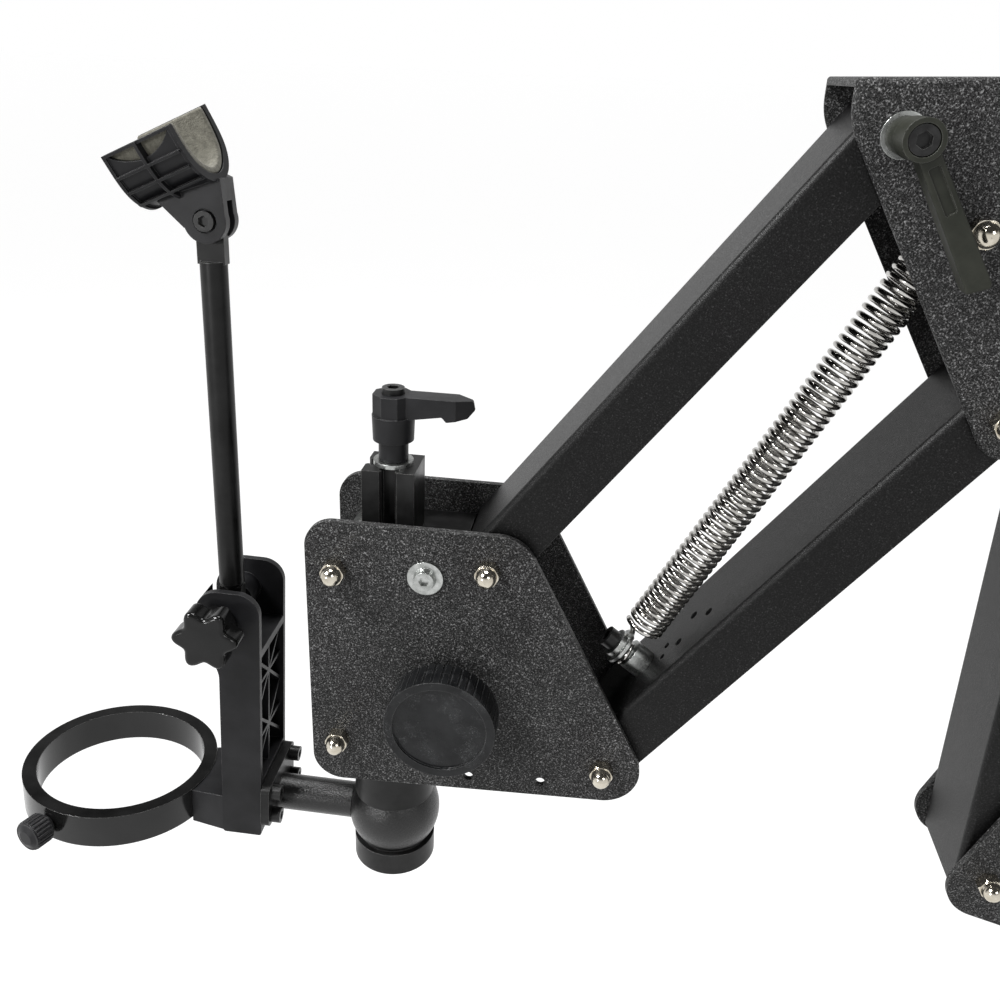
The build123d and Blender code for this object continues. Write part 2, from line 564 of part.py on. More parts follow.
def sec_solid(pp, x0, L):
    e1 = Edge.make_spline([Vector(x0, p[0], p[1]) for p in pp])
    e2 = Edge.make_line((x0, pp[-1][0], pp[-1][1]), (x0, pp[0][0], pp[0][1]))
    return Part() + Solid.extrude(Face(Wire([e1, e2])), Vector(L, 0, 0))


def both(half):
    return half + [(-p[0], p[1]) for p in half[-2::-1]]


SR = both([(-18.3, 28.0), (-18.1, 19.0), (-15.8, 7.2), (-8.9, -0.4), (0, -2.7)])
SE = both([(-17.2, 28.0), (-17.0, 19.0), (-14.8, 7.8), (-8.2, 0.6), (0, -1.7)])
SO = both([(-16.2, 28.0), (-16.0, 19.0), (-13.8, 8.5), (-7.6, 1.6), (0, -0.6)])
SI = both([(-14.3, 29.0), (-14.1, 19.2), (-12.0, 9.6), (-6.4, 3.5), (0, 1.6)])
SP = both([(-11.6, 30.0), (-11.4, 20.0), (-9.4, 11.5), (-5.0, 6.6), (0, 4.9)])
top = box(-40, 40, -30, 30, -10, TD)
trough = sec_solid(SO, -TL / 2, TL)
env, ends = sec_solid(SR, -TL / 2, TL), sec_solid(SE, -TL / 2, TL)
trough += env & box(-0.7, 0.7, -30, 30, -10, 40)
for w in (16.4, 9.6, 3.4):
    trough += env & box(-TL / 2 + 1.0, TL / 2 - 1.0, -30, 30, w - 0.6, w + 0.6)
trough += ends & box(-TL / 2, -TL / 2 + 1.5, -30, 30, -10, 40)
trough += ends & box(TL / 2 - 1.5, TL / 2, -30, 30, -10, 40)
trough += ends & box(-TL / 2, TL / 2, -30, 30, TD - 1.3, TD)
trough = trough & top
# lens-shaped windows below the rim, one in each wall, split by the middle rib
lens = Face(Wire([Edge.make_line((-TL / 2 + 2.0, 0, TD - 1.3), (TL / 2 - 2.0, 0, TD - 1.3)),
                  Edge.make_three_point_arc(Vector(TL / 2 - 2.0, 0, TD - 1.3), Vector(0, 0, TD - 7.2), Vector(-TL / 2 + 2.0, 0, TD - 1.3))]))
lens = Part() + Solid.extrude(lens, Vector(0, 60, 0))
lens = (Pos(0, -30, 0) * lens) - box(-0.7, 0.7, -40, 40, 0, 40)
trough = trough - lens - sec_solid(SI, -30, 60)
pad = (sec_solid(SI, -TL / 2 + 0.3, TL - 0.6) - sec_solid(SP, -30, 60)) & top
# the trough climbs to the right and its mouth leans up, to the left and to the front
TW = Plane(origin=(-9.0, 0, 11.5), x_dir=Vector(0.9018, -0.1874, 0.3894), z_dir=Vector(-0.4225, -0.1930, 0.8856))
tr = TW * trough
neck = prism([(-20.0, 7.0), (-9.0, -3.2), (9.2, -1.5), (7.6, 17.5), (4.0, 19.0), (-12.0, 16.0)], 0, -8.0, 8.0)
neck += cyl(9.3, (0, -8.0, 0), (0, 8.0, 0))
neck = neck - (TW * sec_solid(SO, -30, 60))
neck = neck - box(-40, 40, -3.2, 3.2, -20, 8.4)
neck = neck - cyl(8.4, (0, -3.2, 0), (0, 3.2, 0))
cr = tr + neck
cr = cr - cyl(2.05, (0, -20, 0), (0, 20, 0)) - cyl(5.0, (0, -20, 0), (0, -6.2, 0)) - cyl(4.1, (0, 6.2, 0), (0, 12, 0))
put("rest_cradle", CR * cr)
put("cradle_pad", CR * (TW * pad))
put("cradle_screw", CR * (cap_screw((0, 9.0, 0), (0, -6.2, 0), 2.0, 4.3, 3.2) + (cyl(3.9, (0, 6.3, 0), (0, 9.0, 0)))))

# --- elbow --------------------------------------------------------------------
ELB = [(-193.7, 487.9), (-193.7, 473.8), (-120.8, 354.4), (-67.7, 363.8), (0.8, 474.0), (0.8, 496.0)]
ELB_R = [1.2, 26.0, 12.0, 14.0, 16.0, 4.0]
elb = prism(ELB, ELB_R, -PLATE_OUT, PLATE_OUT)
inner = [(-230.0, 483.3), (-230.0, 300.0), (40.0, 300.0), (40.0, 494.6)]
elb = elb - prism(inner, 0, -PLATE_IN, PLATE_IN)
for q in (P3, P4, P5, P7, SA):
    elb = elb - ycyl(BOLT_R + RUN, q, -40, 40)
try:
    te = [e for e in elb.edges() if e.length > 100 and abs(abs(e.center().Y) - PLATE_OUT) < 0.01 and e.center().Z > 485]
    elb = fillet(te, 2.5)
except Exception:
    pass
put("elbow_bracket", elb)
put("elbow_bolts", group(ycyl(BOLT_R, P3, -PLATE_OUT - 9.0, PLATE_OUT + 7.8), *[stud(q) for q in (P4, P5, P7, SA)]))
put("elbow_nuts", group(acorn(P3, PLATE_OUT, 1), *[acorn(q, s * PLATE_OUT, s) for q in (P4, P5, P7, SA) for s in (-1, 1)]))
put("elbow_spacers", group(*washers(P3), *washers(P4), *washers(P5), *washers(P7),
                           ytube(5.0, BOLT_R + 0.02, SA, -PLATE_IN, -2.2), ytube(5.0, BOLT_R + 0.02, SA, 2.2, PLATE_IN),
                           ytube(7.9, BOLT_R + 0.02, P3, -PLATE_OUT - 1.2, -PLATE_OUT)))

LD = math.radians(-58.5)      # lever arm direction in the XZ plane
ly = -PLATE_OUT
el = cyl(6.4, (P3[0], ly - 1.3, P3[1]), (P3[0], ly - 20.0, P3[1])) + cyl(6.9, (P3[0], ly - 14.0, P3[1]), (P3[0], ly - 27.0, P3[1]))
ux, uz = math.cos(LD), math.sin(LD)
vx, vz = -uz, ux


def lp(a, b):
    return (P3[0] + ux * a + vx * b, P3[1] + uz * a + vz * b)


ea = prism([lp(0, -3.6), lp(53.5, -4.4), lp(55.0, 3.2), lp(53.5, 4.2), lp(0, 3.6)], [0, 0.8, 0.8, 0.8, 0], ly - 25.5, ly - 17.0)
ea = fillet([e for e in ea.edges() if abs(e.center().Y - (ly - 25.5)) < 1e-3 and e.length > 20], 0.8)
ea = ea - prism([lp(9.5, -1.9), lp(26.0, -1.9), lp(26.0, 1.9), lp(9.5, 1.9)], 0.6, ly - 26.0, ly - 24.6)
el += ea
el = el - ycyl(BOLT_R + RUN, P3, ly - 10.0, ly + 1) - cyl(2.55, (P3[0], ly - 9, P3[1]), (P3[0], ly - 40, P3[1])) \
    - cyl(5.2, (P3[0], ly - 22.0, P3[1]), (P3[0], ly - 40, P3[1]))
put("elbow_lever", el)
put("elbow_lever_screw", cap_screw((P3[0], ly - 11.0, P3[1]), (P3[0], ly - 22.1, P3[1]), 2.5, 4.9, 4.4))

# --- base bracket ----------------------------------------------------------------
BASE = [(-94.4, 132.0), (8.0, 104.2), (34.0, 104.2), (34.0, 170.0), (6.0, 264.0), (-41.0, 264.0)]
BASE_R = [18.0, 14.0, 8.0, 30.0, 16.0, 16.0]
bs = prism(BASE, BASE_R, -PLATE_OUT, PLATE_OUT)
bs = bs - box(-120, 60, -PLATE_IN, PLATE_IN, 107.2, 300) - box(-120, -27, -PLATE_IN, PLATE_IN, 90, 300)
for q in (P6, P8, SB):
    bs = bs - ycyl(BOLT_R + RUN, q, -40, 40)
bs = bs - cyl(10.1, (0, 0, 90), (0, 0, 120))
put("base_bracket", bs)
put("base_bolts", group(stud(P6), stud(P8), stud(SB)))
put("base_nuts", group(*[acorn(q, s * PLATE_OUT, s) for q in (P6, P8, SB) for s in (-1, 1)]))
put("base_spacers", group(*washers(P6), *washers(P8),
                          ytube(5.0, BOLT_R + 0.02, SB, -PLATE_IN, -2.2), ytube(5.0, BOLT_R + 0.02, SB, 2.2, PLATE_IN)))
spn = cyl(10.0, (0, 0, 17.0), (0, 0, 104.2)) + cyl(22.0, (0, 0, 98.2), (0, 0, 104.2))
spn += cyl(10.0, (0, 0, 104.2), (0, 0, 109.5)) + (Pos(0, 0, 107.3) * (extrude(RegularPolygon(14.0, 6, major_radius=False), 8.0)))
spn = spn - tube(11, 8.5, (0, 0, 52), (0, 0, 68))
put("swivel_spindle", spn)

# --- bench clamp ---------------------------------------------------------------------
cb = box(-32, 46, -22, 22, 0, 13)
cb += box(34, 46, -22, 22, -92, 13)
cb += box(-32, 46, -22, 22, -92, -80)
cb += cyl(13.0, (-4, 0, -98), (-4, 0, -80))
cb += cone(21.9, HUB_R, (0, 0, 13), (0, 0, 20)) + cyl(HUB_R, (0, 0, 13), (0, 0, 97))
cb += cyl(9.0, (0, 0, 60), (27.5, 0, 60))
cb = cb - cyl(13.0, (0, 0, 14.5), (0, 0, 98)) - cyl(4.05, (5, 0, 60), (30, 0, 60)) - cyl(6.0 + RUN, (-4, 0, -100), (-4, 0, -70))
put("clamp_body", cb)
bush = tube(12.97, 10.0 + RUN, (0, 0, 14.51), (0, 0, 98.1)) - cyl(4.1, (5, 0, 60), (30, 0, 60))
put("swivel_bush", bush)

kn = cyl(4.0, (9.0, 0, 60), (31, 0, 60)) + cyl(8.0, (28.0, 0, 60), (33, 0, 60))
prof = []
for i in range(100):
    a = 2 * math.pi * i / 100
    r = 14.0 + 2.2 * math.cos(5 * a)
    prof.append(Vector(33, r * math.cos(a), 60 + r * math.sin(a)))
kn += Part() + Solid.extrude(Face(Wire([Edge.make_spline(prof, periodic=True)])), Vector(13, 0, 0))
put("swivel_lock_knob", kn)

foot = cyl(16.0, (-4, 0, -36.0), (-4, 0, -30.0)) + cyl(10.0, (-4, 0, -42.0), (-4, 0, -36.0))
foot = foot - cyl(6.1, (-4, 0, -43), (-4, 0, -38.5))
put("clamp_foot", foot)
scw = cyl(6.0, (-4, 0, -156), (-4, 0, -38.6))
prof = []
for i in range(100):
    a = 2 * math.pi * i / 100
    r = 19.0 + 2.6 * math.cos(6 * a)
    prof.append(Vector(-4 + r * math.cos(a), r * math.sin(a), -158))
ch = Part() + Solid.extrude(Face(Wire([Edge.make_spline(prof, periodic=True)])), Vector(0, 0, 16))
put("clamp_screw", scw + ch)

os.makedirs("parts", exist_ok=True)
for name, shp in OUT.items():
    export_step(shp if isinstance(shp, Compound) else Part() + shp, "parts/" + name + ".step")
print(len(OUT), "nodes")
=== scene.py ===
import bpy, bmesh, math, json, random
from mathutils import Vector, Matrix, noise


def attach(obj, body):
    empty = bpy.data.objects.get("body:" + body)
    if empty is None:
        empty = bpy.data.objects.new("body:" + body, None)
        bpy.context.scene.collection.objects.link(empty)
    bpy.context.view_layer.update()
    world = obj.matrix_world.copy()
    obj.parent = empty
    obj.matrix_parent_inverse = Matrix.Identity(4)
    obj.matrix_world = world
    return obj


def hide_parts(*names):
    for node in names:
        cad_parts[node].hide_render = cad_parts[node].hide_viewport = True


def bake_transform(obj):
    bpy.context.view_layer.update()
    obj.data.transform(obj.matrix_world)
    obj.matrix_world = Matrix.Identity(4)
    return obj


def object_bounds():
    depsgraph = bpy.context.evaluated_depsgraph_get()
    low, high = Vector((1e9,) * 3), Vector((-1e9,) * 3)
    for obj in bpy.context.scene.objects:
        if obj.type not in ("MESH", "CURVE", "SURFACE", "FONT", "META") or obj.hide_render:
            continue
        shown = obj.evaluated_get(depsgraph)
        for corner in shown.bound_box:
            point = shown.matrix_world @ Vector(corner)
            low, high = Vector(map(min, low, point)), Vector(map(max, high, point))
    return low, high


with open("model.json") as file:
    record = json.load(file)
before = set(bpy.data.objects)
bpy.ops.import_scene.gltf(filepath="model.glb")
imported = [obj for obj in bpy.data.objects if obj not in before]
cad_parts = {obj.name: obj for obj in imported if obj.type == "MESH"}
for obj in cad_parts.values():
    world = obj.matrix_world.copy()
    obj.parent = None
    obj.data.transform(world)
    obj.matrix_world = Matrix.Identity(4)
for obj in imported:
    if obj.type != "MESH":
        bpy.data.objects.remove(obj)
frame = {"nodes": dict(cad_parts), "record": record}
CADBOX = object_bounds()
N = frame["nodes"]
MM = 0.001


# ---------------------------------------------------------------- materials
def new_mat(name):
    m = bpy.data.materials.new(name)
    m.use_nodes = True
    nt = m.node_tree
    nt.nodes.clear()
    out = nt.nodes.new("ShaderNodeOutputMaterial")
    bs = nt.nodes.new("ShaderNodeBsdfPrincipled")
    nt.links.new(bs.outputs[0], out.inputs[0])
    return m, nt, bs


def tex(nt, kind, scale, vec, **kw):
    n = nt.nodes.new(kind)
    n.inputs["Scale"].default_value = scale
    for k, v in kw.items():
        if k in n.inputs.keys():
            n.inputs[k].default_value = v
        else:
            setattr(n, k, v)
    nt.links.new(vec, n.inputs["Vector"])
    return n


def ramp(nt, fac, stops):
    r = nt.nodes.new("ShaderNodeValToRGB")
    e = r.color_ramp.elements
    while len(e) < len(stops):
        e.new(0.5)
    for i, (p, c) in enumerate(stops):
        e[i].position = p
        e[i].color = (c, c, c, 1) if not isinstance(c, (tuple, list)) else (*c, 1)
    nt.links.new(fac, r.inputs["Fac"])
    return r


def maprange(nt, v, a, b, c, d):
    r = nt.nodes.new("ShaderNodeMapRange")
    r.inputs["From Min"].default_value = a
    r.inputs["From Max"].default_value = b
    r.inputs["To Min"].default_value = c
    r.inputs["To Max"].default_value = d
    nt.links.new(v, r.inputs["Value"])
    return r.outputs["Result"]


def bump(nt, height, strength, dist, normal=None):
    b = nt.nodes.new("ShaderNodeBump")
    b.inputs["Strength"].default_value = strength
    b.inputs["Distance"].default_value = dist
    nt.links.new(height, b.inputs["Height"])
    if normal is not None:
        nt.links.new(normal, b.inputs["Normal"])
    return b.outputs["Normal"]


def edge(nt, radius):
    b = nt.nodes.new("ShaderNodeBevel")
    b.samples = 4
    b.inputs["Radius"].default_value = radius
    return b.outputs["Normal"]


def coords(nt):
    return nt.nodes.new("ShaderNodeTexCoord").outputs["Object"]


def wear_color(nt, vec, dark, light, scale=60.0, lo=0.35, hi=0.7):
    n = tex(nt, "ShaderNodeTexNoise", scale, vec, Detail=6.0, Roughness=0.6)
    return ramp(nt, n.outputs["Fac"], [(lo, dark), (hi, light)]).outputs["Color"]


def mixc(nt, fac, a, b, mode="MIX"):
    mx = nt.nodes.new("ShaderNodeMix")
    mx.data_type = "RGBA"
    mx.blend_type = mode
    if hasattr(fac, "default_value") or hasattr(fac, "links"):
        nt.links.new(fac, mx.inputs["Factor"])
    else:
        mx.inputs["Factor"].default_value = fac
    for k, c in (("A", a), ("B", b)):
        if isinstance(c, tuple):
            mx.inputs[k].default_value = (*c, 1)
        else:
            nt.links.new(c, mx.inputs[k])
    return mx.outputs["Result"]


def math_(nt, op, a, b):
    n = nt.nodes.new("ShaderNodeMath")
    n.operation = op
    for i, v in enumerate((a, b)):
        if isinstance(v, (int, float)):
            n.inputs[i].default_value = v
        else:
            nt.links.new(v, n.inputs[i])
    return n.outputs[0]


def painted_edge_highlight(nt, base, colour, radius=0.0006, amount=0.5, scale=500.0):
    """Painted edge highlight: lighter colour on sharp edges, found from the bevel normal against the true normal and
    broken up by noise.
    """
    g = nt.nodes.new("ShaderNodeNewGeometry")
    b = nt.nodes.new("ShaderNodeBevel")
    b.samples = 4
    b.inputs["Radius"].default_value = radius
    d = nt.nodes.new("ShaderNodeVectorMath")
    d.operation = "DOT_PRODUCT"
    nt.links.new(b.outputs["Normal"], d.inputs[0])
    nt.links.new(g.outputs["True Normal"], d.inputs[1])
    k = maprange(nt, d.outputs["Value"], 0.985, 0.80, 0.0, 1.0)
    n = tex(nt, "ShaderNodeTexNoise", scale, coords(nt), Detail=4.0, Roughness=0.7)
    edge_highlight_mask = math_(nt, "MULTIPLY", k, maprange(nt, n.outputs["Fac"], 0.35, 0.6, 0.15, amount))
    return mixc(nt, edge_highlight_mask, base, colour)


def powder(name, dark=0.003, light=0.060, scale=820.0, rough=(0.40, 0.62), st=0.9, spec=0.26, lo=0.42, hi=0.80, drift=0.35, edge_highlight_amt=0.45):
    """Textured powder coat: pebbled black grain; the grain crests get a lighter base colour, a painted highlight
    standing in for glints on the crests.
    """
    m, nt, bs = new_mat(name)
    v = coords(nt)
    g1 = tex(nt, "ShaderNodeTexNoise", scale, v, Detail=3.5, Roughness=0.62)
    g1.inputs["Distortion"].default_value = 0.9
    g2 = tex(nt, "ShaderNodeTexVoronoi", scale * 1.05, v)
    big = tex(nt, "ShaderNodeTexNoise", 28.0, v, Detail=5.0, Roughness=0.65)
    hgt = math_(nt, "ADD", math_(nt, "MULTIPLY", g1.outputs["Fac"], 1.0), math_(nt, "MULTIPLY", g2.outputs["Distance"], 0.35))
    # painted highlight: the base colour ramps from dark in the hollows to the light tone on the grain crests, standing
    # in for glints
    base = ramp(nt, hgt, [(lo, dark), (0.5 * (lo + hi), dark * 3 + light * 0.12), (hi, light)])
    dr = ramp(nt, big.outputs["Fac"], [(0.25, 1.0 - drift), (0.75, 1.0)])
    col = mixc(nt, 1.0, base.outputs["Color"], dr.outputs["Color"], "MULTIPLY")
    col = painted_edge_highlight(nt, col, (0.13, 0.13, 0.125), 0.0007, edge_highlight_amt)
    nt.links.new(col, bs.inputs["Base Color"])
    nt.links.new(maprange(nt, g1.outputs["Fac"], 0.3, 0.7, rough[1], rough[0]), bs.inputs["Roughness"])
    nt.links.new(bump(nt, hgt, st, 0.00045, edge(nt, 0.0006)), bs.inputs["Normal"])
    bs.inputs["Specular IOR Level"].default_value = spec
    return m


def smooth(name, dark, light, rough=(0.3, 0.42), metallic=0.0, scale=80.0, grain=2600.0, st=0.08, coat=0.0, spec=0.5, er=0.0005, dist=0.00008, stretch=None, edge_highlight=None, edge_highlight_r=0.0005):
    """Satin or gloss finish with slight colour drift, fine grain, smudges and, when a grey is given, a painted edge
    highlight.
    """
    m, nt, bs = new_mat(name)
    v = coords(nt)
    v2 = v
    if stretch:
        mp = nt.nodes.new("ShaderNodeMapping")
        mp.inputs["Scale"].default_value = stretch
        nt.links.new(v, mp.inputs["Vector"])
        v2 = mp.outputs["Vector"]
    col = wear_color(nt, v, dark, light, scale)
    # painted edge highlight: lighter grey on sharp edges when a grey is given
    if edge_highlight:
        col = painted_edge_highlight(nt, col, edge_highlight, edge_highlight_r, 0.7)
    nt.links.new(col, bs.inputs["Base Color"])
    g = tex(nt, "ShaderNodeTexNoise", grain, v2, Detail=3.0, Roughness=0.6)
    s = tex(nt, "ShaderNodeTexNoise", scale * 1.7, v, Detail=8.0, Roughness=0.7)
    nt.links.new(maprange(nt, s.outputs["Fac"], 0.3, 0.7, rough[0], rough[1]), bs.inputs["Roughness"])
    nt.links.new(bump(nt, g.outputs["Fac"], st, dist, edge(nt, er)), bs.inputs["Normal"])
    bs.inputs["Metallic"].default_value = metallic
    bs.inputs["Specular IOR Level"].default_value = spec
    if coat:
        bs.inputs["Coat Weight"].default_value = coat
        bs.inputs["Coat Roughness"].default_value = 0.12
    return m


# grey of the painted edge highlight on sharp edges
EDGE_HIGHLIGHT_GREY = (0.16, 0.16, 0.155)
M = {}
# powder finishes: the light value sets the colour of the painted highlight on the grain crests
M["powder_coat"] = powder("textured_powder_coat", dark=0.0010, light=0.27, scale=1450.0, spec=0.17, lo=0.57, hi=0.95, st=1.0, drift=0.5)
M["link_coat"] = powder("link_powder_coat", dark=0.0008, light=0.050, scale=1500.0, st=0.30, spec=0.17, rough=(0.34, 0.46), lo=0.62, hi=1.02, drift=0.5)
M["black_anodised"] = smooth("satin_black_anodised", (0.003, 0.003, 0.003), (0.012, 0.012, 0.012), (0.28, 0.42), 0.0, 70, 3500, 0.10, spec=0.20, edge_highlight=EDGE_HIGHLIGHT_GREY)
M["ball_black"] = powder("fine_textured_enamel", dark=0.0004, light=0.04, scale=1900.0, spec=0.48, rough=(0.25, 0.34), lo=0.66, hi=1.05, st=0.32, drift=0.3, edge_highlight_amt=0.1)
M["ring_black"] = smooth("gloss_black_anodised", (0.002, 0.002, 0.002), (0.007, 0.007, 0.007), (0.12, 0.24), 0.0, 50, 5000, 0.03, coat=0.2, spec=0.26, edge_highlight=EDGE_HIGHLIGHT_GREY)
M["nickel"] = smooth("nickel_plate", (0.50, 0.46, 0.38), (0.68, 0.64, 0.56), (0.10, 0.22), 1.0, 200, 3000, 0.05, er=0.0003)
M["zinc"] = smooth("zinc_plate", (0.30, 0.31, 0.30), (0.50, 0.51, 0.50), (0.22, 0.40), 1.0, 300, 2500, 0.12, er=0.0003)
M["steel"] = smooth("turned_steel", (0.30, 0.30, 0.30), (0.46, 0.46, 0.46), (0.25, 0.36), 1.0, 120, 1500, 0.15, er=0.0003, stretch=(1, 1, 6))
M["spring_chrome"] = smooth("bright_spring_steel", (0.34, 0.33, 0.31), (0.58, 0.57, 0.55), (0.10, 0.2), 1.0, 150, 3000, 0.04, er=0.0001)
M["black_oxide"] = smooth("black_oxide", (0.003, 0.003, 0.003), (0.014, 0.014, 0.014), (0.26, 0.42), 0.0, 250, 2500, 0.12, er=0.0003, spec=0.26, edge_highlight=EDGE_HIGHLIGHT_GREY, edge_highlight_r=0.0003)
M["black_plastic"] = smooth("moulded_black_plastic", (0.003, 0.003, 0.0035), (0.010, 0.010, 0.011), (0.34, 0.5), 0.0, 45, 3000, 0.16, spec=0.20, edge_highlight=(0.10, 0.10, 0.10))
M["gloss_plastic"] = smooth("polished_black_plastic", (0.002, 0.002, 0.002), (0.006, 0.006, 0.006), (0.16, 0.28), 0.0, 50, 1800, 0.06, coat=0.15, spec=0.20)
M["rod_black"] = smooth("satin_black_rod", (0.002, 0.002, 0.002), (0.008, 0.008, 0.008), (0.28, 0.42), 0.0, 60, 2500, 0.10, stretch=(1, 1, 0.15), spec=0.20, edge_highlight=EDGE_HIGHLIGHT_GREY)
M["lever_grey"] = smooth("grey_green_lever", (0.008, 0.009, 0.006), (0.020, 0.021, 0.016), (0.34, 0.5), 0.0, 70, 1800, 0.25, spec=0.20, edge_highlight=(0.11, 0.11, 0.10))
M["bush_bronze"] = smooth("sintered_bronze", (0.40, 0.27, 0.12), (0.58, 0.42, 0.22), (0.3, 0.45), 1.0, 200, 2500, 0.2)
M["nylon"] = smooth("black_nylon", (0.01, 0.01, 0.01), (0.02, 0.02, 0.02), (0.5, 0.6), 0.0, 80, 2500, 0.1)

# focus knob: satin plastic with fine handling scuffs on its face and a painted edge highlight
m, nt, bs = new_mat("scuffed_knob_plastic")
v = coords(nt)
col = wear_color(nt, v, (0.003, 0.0032, 0.0036), (0.012, 0.0125, 0.013), 60)
n1 = tex(nt, "ShaderNodeTexNoise", 1100.0, v, Detail=7.0, Roughness=0.75, Distortion=2.5)
n2 = tex(nt, "ShaderNodeTexNoise", 75.0, v, Detail=3.0, Roughness=0.5)
k = math_(nt, "MULTIPLY", maprange(nt, n1.outputs["Fac"], 0.575, 0.635, 0.0, 1.0), maprange(nt, n2.outputs["Fac"], 0.53, 0.63, 0.0, 0.9))
nt.links.new(painted_edge_highlight(nt, mixc(nt, k, col, (0.19, 0.195, 0.20)), (0.12, 0.12, 0.12), 0.0005, 0.6), bs.inputs["Base Color"])
nt.links.new(maprange(nt, n2.outputs["Fac"], 0.3, 0.7, 0.18, 0.32), bs.inputs["Roughness"])
g = tex(nt, "ShaderNodeTexNoise", 2600.0, v, Detail=3.0)
nt.links.new(bump(nt, g.outputs["Fac"], 0.12, 0.00008, edge(nt, 0.0004)), bs.inputs["Normal"])
bs.inputs["Specular IOR Level"].default_value = 0.20
M["knob"] = m

# foam
m, nt, bs = new_mat("grey_foam")
v = coords(nt)
nt.links.new(wear_color(nt, v, (0.055, 0.052, 0.040), (0.115, 0.110, 0.088), 420, 0.3, 0.7), bs.inputs["Base Color"])
g = tex(nt, "ShaderNodeTexVoronoi", 1500, v)
g2 = tex(nt, "ShaderNodeTexNoise", 900, v, Detail=5.0)
nt.links.new(bump(nt, math_(nt, "ADD", g.outputs["Distance"], g2.outputs["Fac"]), 0.6, 0.0003), bs.inputs["Normal"])
nt.links.new(maprange(nt, g2.outputs["Fac"], 0.3, 0.7, 0.85, 0.97), bs.inputs["Roughness"])
bs.inputs["Sheen Weight"].default_value = 0.1
M["foam"] = m

slot_of = {s["node"]: s["material_slot"] for s in frame["record"]["subparts"]}
for name, ob in N.items():
    s = slot_of[name]
    mm = M[s]
    if name.startswith(("upper_link", "lower_link")):
        mm = M["link_coat"]
    if name.startswith("focus_knob"):
        mm = M["knob"]
    if ob.data.materials:
        for i in range(len(ob.data.materials)):
            ob.material_slots[i].material = mm
    else:
        ob.data.materials.append(mm)


# ---------------------------------------------------------------- geometry helpers
def P(x, y, z):
    return Vector((x * MM, y * MM, z * MM))


def mesh_obj(name, verts, faces, mat, body, smooth_=True):
    me = bpy.data.meshes.new(name)
    me.from_pydata(verts, [], faces)
    me.update()
    ob = bpy.data.objects.new(name, me)
    bpy.context.scene.collection.objects.link(ob)
    me.materials.append(mat)
    if smooth_:
        for p in me.polygons:
            p.use_smooth = True
    if body:
        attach(ob, body)
    return ob


def sweep(path, r, sides=12, closed=False):
    """Tube of radius r along a list of points, with parallel-transported frames and domed ends."""
    n = len(path)
    tang = []
    for i in range(n):
        a = path[max(i - 1, 0)]; b = path[min(i + 1, n - 1)]
        tang.append((b - a).normalized())
    nrm = tang[0].orthogonal().normalized()
    verts, faces = [], []
    rings = []
    for i in range(n):
        if i:
            q = tang[i - 1].rotation_difference(tang[i])
            nrm = (q @ nrm).normalized()
        bn = tang[i].cross(nrm).normalized()
        ring = []
        for k in range(sides):
            a = 2 * math.pi * k / sides
            verts.append(path[i] + (nrm * math.cos(a) + bn * math.sin(a)) * r)
            ring.append(len(verts) - 1)
        rings.append(ring)
    for i in range(n - 1):
        for k in range(sides):
            faces.append((rings[i][k], rings[i][(k + 1) % sides], rings[i + 1][(k + 1) % sides], rings[i + 1][k]))
    for e, ring, t in ((0, rings[0], -tang[0]), (n - 1, rings[-1], tang[-1])):
        verts.append(path[e] + t * r * 0.6)
        c = len(verts) - 1
        for k in range(sides):
            f = (ring[k], ring[(k + 1) % sides], c)
            faces.append(f if e else f[::-1])
    return verts, faces


PIV = dict(P1=(-312.04, 286.08), P2=(-254.63, 186.84), P3=(-175.26, 470.37), P4=(-117.85, 371.13), P5=(-78.80, 378.10), P6=(-71.00, 148.16), P7=(-21.40, 470.40), P8=(-13.60, 240.46), SA=(-142.5, 439.8), SB=(-34.0, 196.0))
LINK_D, AX, LINK_L = 25.0, 42.7, 229.5


def web_point(pa, pb, x, h):
    L = math.hypot(pb[0] - pa[0], pb[1] - pa[1])
    u = ((pb[0] - pa[0]) / L, (pb[1] - pa[1]) / L)
    return Vector((pa[0] + u[0] * x - u[1] * h, 0, pa[1] + u[1] * x + u[0] * h))


def spring_path(A, B, ha, hb, ra, rb, axis_a, axis_b, R=8.1, wire=1.28, pitch=3.65, spt=26):
    """Tension spring from anchor A to anchor B, with a loop round each anchor.
    axis_a and axis_b are the anchor axes the loops go round; ra and rb the loops' radii."""
    u = (B - A).normalized()
    L = (B - A).length
    e1 = u.cross(Vector((0, 1, 0))).normalized()
    e2 = u.cross(e1).normalized()
    s, e = ha, L - hb
    turns = round((e - s) / pitch)
    pts = []
    # loop at A: starts at far side, goes round the anchor, then leads into the coil
    la = (axis_a.cross(u)).normalized()

    def loop(C, d, side, r, first):
        # ring round C in the plane of d (away from the spring) and side
        out = []
        for i in range(0, 27):
            a = math.radians(-150 + 300 * i / 26)
            out.append(C + (d * math.cos(a) + side * math.sin(a)) * r)
        return out

    ring_a = loop(A, -u, la, ra, True)
    pts += ring_a
    last = pts[-1]
    c0 = A + u * s + e1 * R
    # neck up to the coil
    nk = []
    for i in range(1, 10):
        t = i / 10
        p = last.lerp(c0, t)
        ctr = A + u * (p - A).dot(u)
        k = math.sin(t * math.pi) * 0.35
        nk.append(p.lerp(ctr, k))
    pts += nk
    n = int(turns * spt)
    for i in range(n + 1):
        a = 2 * math.pi * i / spt
        pts.append(A + u * (s + (e - s) * i / n) + (e1 * math.cos(a) + e2 * math.sin(a)) * R)
    lb = (axis_b.cross(u)).normalized()
    ring_b = loop(B, u, lb, rb, False)[::-1]
    c1 = pts[-1]
    first = ring_b[0]
    for i in range(1, 10):
        t = i / 10
        p = c1.lerp(first, t)
        ctr = A + u * (p - A).dot(u)
        k = math.sin(t * math.pi) * 0.35
        pts.append(p.lerp(ctr, k))
    pts += ring_b
    return pts


